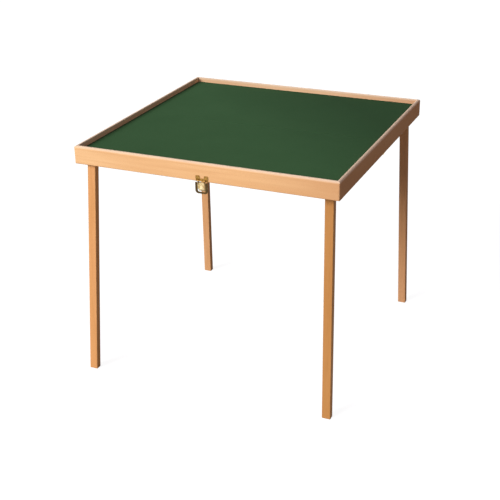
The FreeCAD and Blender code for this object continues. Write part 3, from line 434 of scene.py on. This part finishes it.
def zinc(name, roughness):
    """Zinc plated steel with its cloudy spangle."""
    metal = bpy.context.scene.table_metal
    finish = Finish(name)
    cells = finish.add("ShaderNodeTexVoronoi", {"Vector": finish.place, "Scale": 260.0}).outputs["Color"]
    spangle = finish.add("ShaderNodeSeparateColor", {"Color": cells}).outputs["Red"]
    haze = finish.noise(finish.place, scale=90.0, detail=4.0, roughness=0.6)
    body = finish.tinge(metal.zinc, metal.dull_zinc, spangle, low=0.0, high=1.0, share=0.45)
    body = finish.tinge(body, metal.dull_zinc, haze, low=0.5, high=0.8, share=0.5)
    rough = finish.between(haze, low=0.25, high=0.75, start=roughness, end=roughness + HAZE_ROUGHENS)
    finish.surface(Metallic=1.0)
    finish.surface(
        Base_Color=body, Roughness=rough,
        Normal=finish.raised(haze, distance=0.00004, strength=0.3),
    )
    return finish.material


# ------------------------------------------------------------------ object helpers

def parts_named(*starts):
    return sorted(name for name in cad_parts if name.startswith(starts))


def tinted(shades, tint):
    """The shades with each channel scaled by the tint."""
    return [[value * share for value, share in zip(shade, tint)] for shade in shades]


def paint(nodes, material):
    """Gives the named CAD parts one material."""
    for name in nodes:
        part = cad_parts[name]
        for slot in part.material_slots:
            slot.link = "OBJECT"
            slot.material = material
        if not part.material_slots:
            part.data.materials.append(material)


def deselect_all():
    for item in bpy.context.selected_objects:
        item.select_set(False)


def apply_all(piece):
    """Applies the piece's modifiers and leaves it at the origin, unturned and unscaled."""
    deselect_all()
    piece.select_set(True)
    bpy.context.view_layer.objects.active = piece
    for modifier in list(piece.modifiers):
        bpy.ops.object.modifier_apply(modifier=modifier.name)
    bpy.ops.object.transform_apply(location=True, rotation=True, scale=True)


def cut_cloth(name, low, high, cuts):
    """A finely divided sheet at half the height of the box from low to high."""
    size = high - low
    deselect_all()
    bpy.ops.mesh.primitive_plane_add(size=1.0, location=(low + high) / 2)
    piece = bpy.context.object
    piece.name = name
    piece.scale = (size.x, size.y, 1.0)
    bpy.ops.object.transform_apply(location=True, scale=True)
    bpy.ops.object.mode_set(mode="EDIT")
    bpy.ops.mesh.select_all(action="SELECT")
    bpy.ops.mesh.subdivide(number_cuts=cuts)
    bpy.ops.object.mode_set(mode="OBJECT")
    return piece


def thicken_cloth(piece, thickness, waves):
    """Gives the sheet slow waves, its thickness and a soft cut edge."""
    cloth = bpy.context.scene.table_cloth
    nap = piece.modifiers.new("nap", "DISPLACE")
    nap.texture = waves
    nap.texture_coords = "GLOBAL"
    nap.direction = "Z"
    nap.strength = cloth.wave_height
    shell = piece.modifiers.new("thickness", "SOLIDIFY")
    shell.thickness = thickness - cloth.wave_height
    shell.offset = 0.0
    edge = piece.modifiers.new("edge", "BEVEL")
    edge.width = cloth.edge
    edge.segments = EDGE_SEGMENTS
    edge.limit_method = "ANGLE"
    apply_all(piece)
    bpy.ops.object.shade_smooth_by_angle(angle=SMOOTH_ANGLE)


# ------------------------------------------------------------------ stage helpers

def seen_rays(tree):
    """A factor that is 1 for rays from the camera, off a shiny surface or through a clear one."""
    path = tree.nodes.new("ShaderNodeLightPath")
    total = path.outputs["Is Camera Ray"]
    for name in ("Is Glossy Ray", "Is Transmission Ray"):
        node = tree.nodes.new("ShaderNodeMath")
        node.operation = "MAXIMUM"
        tree.links.new(total, node.inputs[0])
        tree.links.new(path.outputs[name], node.inputs[1])
        total = node.outputs[0]
    return total


def choose_by_ray(tree, unseen, seen, output):
    """Leads one shader to the output for rays that see it, and the other for the rest."""
    choice = tree.nodes.new("ShaderNodeMixShader")
    tree.links.new(seen_rays(tree), choice.inputs[0])
    tree.links.new(unseen.outputs[0], choice.inputs[1])
    tree.links.new(seen.outputs[0], choice.inputs[2])
    tree.links.new(choice.outputs[0], tree.nodes.new(output).inputs["Surface"])


def lay_floor(stage):
    """A floor that looks pale, keeps the table's shadow and throws little light at the table."""
    deselect_all()
    bpy.ops.mesh.primitive_plane_add(size=FLOOR_SIZE, location=(0.0, 0.0, 0.0))
    floor = bpy.context.object
    floor.name = "floor"
    material = bpy.data.materials.new("pale_floor")
    material.use_nodes = True
    tree = material.node_tree
    tree.nodes.clear()
    shaded = tree.nodes.new("ShaderNodeBsdfDiffuse")
    shaded.inputs["Color"].default_value = (*stage.floor, 1.0)
    glow = tree.nodes.new("ShaderNodeEmission")
    glow.inputs["Strength"].default_value = stage.floor_glow
    seen = tree.nodes.new("ShaderNodeAddShader")
    tree.links.new(shaded.outputs[0], seen.inputs[0])
    tree.links.new(glow.outputs[0], seen.inputs[1])
    unseen = tree.nodes.new("ShaderNodeBsdfDiffuse")
    unseen.inputs["Color"].default_value = (*stage.floor_bounce, 1.0)
    choose_by_ray(tree, unseen, seen, "ShaderNodeOutputMaterial")
    floor.data.materials.append(material)


def light_stage(scene, stage):
    """A soft key light, a softer light from above, an even fill and a white background."""
    lamps = (
        ("key", stage.key_strength, stage.key_spread, stage.key_heading),
        ("overhead", stage.overhead_strength, stage.overhead_spread, stage.overhead_heading),
    )
    for name, strength, spread, shines_to in lamps:
        sun = bpy.data.lights.new(name, "SUN")
        sun.energy = strength
        sun.angle = spread
        lamp = bpy.data.objects.new(name, sun)
        scene.collection.objects.link(lamp)
        lamp.rotation_euler = Vector(shines_to).to_track_quat("-Z", "Y").to_euler()
    world = bpy.data.worlds.new("studio")
    world.use_nodes = True
    scene.world = world
    tree = world.node_tree
    tree.nodes.clear()
    white = tree.nodes.new("ShaderNodeBackground")
    white.inputs["Strength"].default_value = 1.0
    white.inputs["Color"].default_value = (1.0, 1.0, 1.0, 1.0)
    fill = tree.nodes.new("ShaderNodeBackground")
    fill.inputs["Strength"].default_value = stage.fill_strength
    fill.inputs["Color"].default_value = (*stage.fill, 1.0)
    choose_by_ray(tree, fill, white, "ShaderNodeOutputWorld")


def aim_camera(scene, stage):
    """Stands the camera in its place and turns it by yaw, pitch and roll."""
    data = bpy.data.cameras.new("camera")
    data.sensor_width = SENSOR_WIDTH
    data.lens = stage.focal_pixels / PICTURE_WIDTH * SENSOR_WIDTH
    data.clip_end = FAR_CLIP
    camera = bpy.data.objects.new("camera", data)
    scene.collection.objects.link(camera)
    yaw, pitch, roll = stage.camera_yaw, stage.camera_pitch, stage.camera_roll
    forward = Vector((-math.sin(yaw) * math.cos(pitch), math.cos(yaw) * math.cos(pitch), -math.sin(pitch)))
    level = Vector((math.cos(yaw), math.sin(yaw), 0.0))
    upright = level.cross(forward)
    right = level * math.cos(roll) + upright * math.sin(roll)
    up = upright * math.cos(roll) - level * math.sin(roll)
    turn = Matrix((right, up, -forward)).transposed().to_4x4()
    camera.matrix_world = Matrix.Translation(stage.camera_place) @ turn
    scene.camera = camera


# ------------------------------------------------------------------ operators

class TABLE_OT_finish_rails(bpy.types.Operator):
    """Gives each rail lacquered beech with the grain along its length"""

    bl_idname = "table.finish_rails"
    bl_label = "Finish Rails"

    def execute(self, context):
        wood = context.scene.table_wood
        rails = sorted(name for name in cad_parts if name.endswith("_rail"))
        for board, name in enumerate(rails):
            axis = "Y" if "left" in name or "right" in name else "X"
            # The rail's tint holds its own colour and painted light and shade.
            light, dark = tinted((wood.light, wood.dark), RAIL_TINTS_AND_SHADE.get(name, UNTINTED))
            paint([name], beech(f"beech_{name}", axis, board, light, dark, rail=True))
        return {"FINISHED"}


class TABLE_OT_finish_legs(bpy.types.Operator):
    """Gives each leg lacquered beech with upright grain"""

    bl_idname = "table.finish_legs"
    bl_label = "Finish Legs"

    def execute(self, context):
        wood = context.scene.table_wood
        for board, (name, tint) in enumerate(LEG_TINTS_AND_SHADE.items(), start=FIRST_LEG_BOARD):
            # The leg's tint holds its own colour and painted light and shade.
            light, dark = tinted((wood.leg_light, wood.leg_dark), tint)
            gloss = GLOSSY_LEGS.get(name, SATIN)
            paint([name], beech(f"beech_{name}", "Z", board, light, dark, gloss))
        return {"FINISHED"}


class TABLE_OT_finish_undersides(bpy.types.Operator):
    """Gives the beds birch plywood and the packing blocks plain beech"""

    bl_idname = "table.finish_undersides"
    bl_label = "Finish Undersides"

    def execute(self, context):
        wood = context.scene.table_wood
        paint([f"{half}_panel" for half in HALVES], plywood())
        for board, name in enumerate(parts_named("leg_block"), start=FIRST_BLOCK_BOARD):
            paint([name], beech(f"beech_{name}", "X", board, wood.light, wood.dark))
        return {"FINISHED"}


class TABLE_OT_lay_felt(bpy.types.Operator):
    """Lays a cloth on the bed of each half"""

    bl_idname = "table.lay_felt"
    bl_label = "Lay Felt"

    def execute(self, context):
        cloth = context.scene.table_cloth
        material = felt()
        waves = bpy.data.textures.new("felt_waves", type="CLOUDS")
        waves.noise_scale = cloth.wave_size
        for half in HALVES:
            node = f"{half}_felt"
            low, high = (Vector(corner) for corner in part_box(node))
            size = high - low
            piece = cut_cloth(f"{half}_cloth", low, high, cloth.cuts)
            thicken_cloth(piece, size.z, waves)
            piece.data.materials.append(material)
            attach(piece, f"{half}_half")
            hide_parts(node)
        return {"FINISHED"}


class TABLE_OT_finish_metal(bpy.types.Operator):
    """Gives the latch and hinges brass and the leg fittings zinc plated steel"""

    bl_idname = "table.finish_metal"
    bl_label = "Finish Metal"

    def execute(self, context):
        metal = context.scene.table_metal
        rough = METAL_ROUGHNESS
        plates = ["latch_plate", "latch_pin", "latch_screws", "catch_plate", "catch_screws"]
        bolts = parts_named("leg_bolts", "leg_nuts", "bracket_screws")
        lever = brass("lever_brass", metal.lever_brass_and_highlight, metal.lever_tarnish_and_shade, rough["lever"], lever=True)
        paint(parts_named("hinge"), brass("hinge_brass", metal.brass, metal.tarnish, rough["hinge"]))
        paint(plates, brass("plate_brass", metal.plate_light, metal.plate_dark_and_lever_shade, rough["plate"]))
        paint(["latch_lever"], lever)
        # Painted shade: the loop's brass is near black.
        paint(["latch_loop"], brass("loop_brass", metal.loop_painted_shade, metal.loop_painted_shade_dark, rough["loop"]))
        paint(parts_named("leg_bracket"), zinc("zinc_brackets", rough["bracket"]))
        paint(bolts, zinc("zinc_bolts", rough["bolt"]))
        return {"FINISHED"}


class TABLE_OT_set_stage(bpy.types.Operator):
    """Sets up the floor, the lights and the camera"""

    bl_idname = "table.set_stage"
    bl_label = "Set Stage"

    def execute(self, context):
        scene = context.scene
        stage = scene.table_stage
        lay_floor(stage)
        light_stage(scene, stage)
        aim_camera(scene, stage)
        scene.view_settings.view_transform = "Standard"
        return {"FINISHED"}


# ------------------------------------------------------------------ add-on

SETTINGS = {
    "table_wood": TableWoodSettings,
    "table_cloth": TableClothSettings,
    "table_metal": TableMetalSettings,
    "table_stage": TableStageSettings,
}
OPERATORS = (
    TABLE_OT_finish_rails,
    TABLE_OT_finish_legs,
    TABLE_OT_finish_undersides,
    TABLE_OT_lay_felt,
    TABLE_OT_finish_metal,
    TABLE_OT_set_stage,
)


class TABLE_PT_finishes(bpy.types.Panel):
    """Finishes of the mahjong table"""

    bl_label = "Mahjong Table"
    bl_space_type = "VIEW_3D"
    bl_region_type = "UI"
    bl_category = "Mahjong Table"

    def draw(self, context):
        column = self.layout.column()
        for operator in OPERATORS:
            column.operator(operator.bl_idname)
        for owner, group in SETTINGS.items():
            for name in group.__annotations__:
                column.prop(getattr(context.scene, owner), name)


CLASSES = (*SETTINGS.values(), *OPERATORS, TABLE_PT_finishes)


def register():
    for kind in CLASSES:
        bpy.utils.register_class(kind)
    for name, group in SETTINGS.items():
        setattr(bpy.types.Scene, name, PointerProperty(type=group))


def unregister():
    for name in SETTINGS:
        delattr(bpy.types.Scene, name)
    for kind in reversed(CLASSES):
        bpy.utils.unregister_class(kind)


def main():
    register()
    bpy.ops.table.finish_rails()
    bpy.ops.table.finish_legs()
    bpy.ops.table.finish_undersides()
    bpy.ops.table.lay_felt()
    bpy.ops.table.finish_metal()
    bpy.ops.table.set_stage()


if __name__ == "__main__":
    main()
